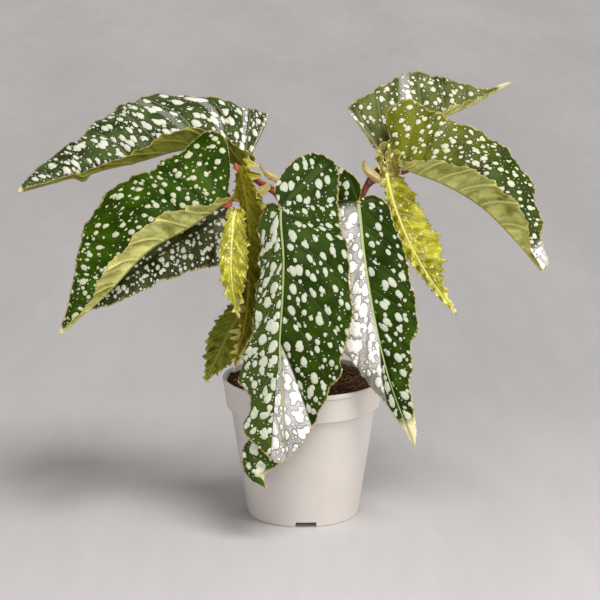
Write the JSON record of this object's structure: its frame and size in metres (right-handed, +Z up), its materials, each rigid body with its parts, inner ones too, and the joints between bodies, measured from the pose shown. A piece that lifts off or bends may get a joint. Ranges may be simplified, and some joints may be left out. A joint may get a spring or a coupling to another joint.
{
  "type": "potted begonia",
  "caption": "Angel-wing begonia in a plain round nursery pot: jointed canes carry lopsided, toothed, folded leaves with silver spots over dark green; it stands flat on its pot's foot",
  "frame": {"origin": "on the ground, under the middle of the pot", "axes": "Z up along the pot's axis; X across the plant's wide side, toward the viewer's right; Y away from the viewer"},
  "size_m": [0.38, 0.1686, 0.3242],
  "materials": {
    "pot_plastic": "matt, moulded",
    "potting_mix": "rough, crumbly",
    "cane_red": "smooth, slightly waxy",
    "leaf_green": "satin, quilted between the veins",
    "young_leaf_green": "satin, ruffled",
    "stipule_paper": "dry, papery"
  },
  "bodies": {
    "root": {"pot": "pot_plastic", "soil": "potting_mix", "cane_left": "cane_red", "cane_right": "cane_red", "leaf_upper_left": "leaf_green", "leaf_front_left": "leaf_green", "leaf_back_left": "leaf_green", "leaf_centre": "leaf_green", "leaf_centre_right": "leaf_green", "leaf_upper_right": "leaf_green", "leaf_right": "leaf_green", "young_leaf_right": "young_leaf_green", "young_leaf_left": "young_leaf_green", "young_leaf_hanging": "young_leaf_green", "leaf_lower_left": "young_leaf_green", "stipule_left_upper": "stipule_paper", "stipule_left_lower": "stipule_paper", "stipule_right_upper": "stipule_paper", "stipule_right_lower": "stipule_paper"}
  },
  "joints": []
}
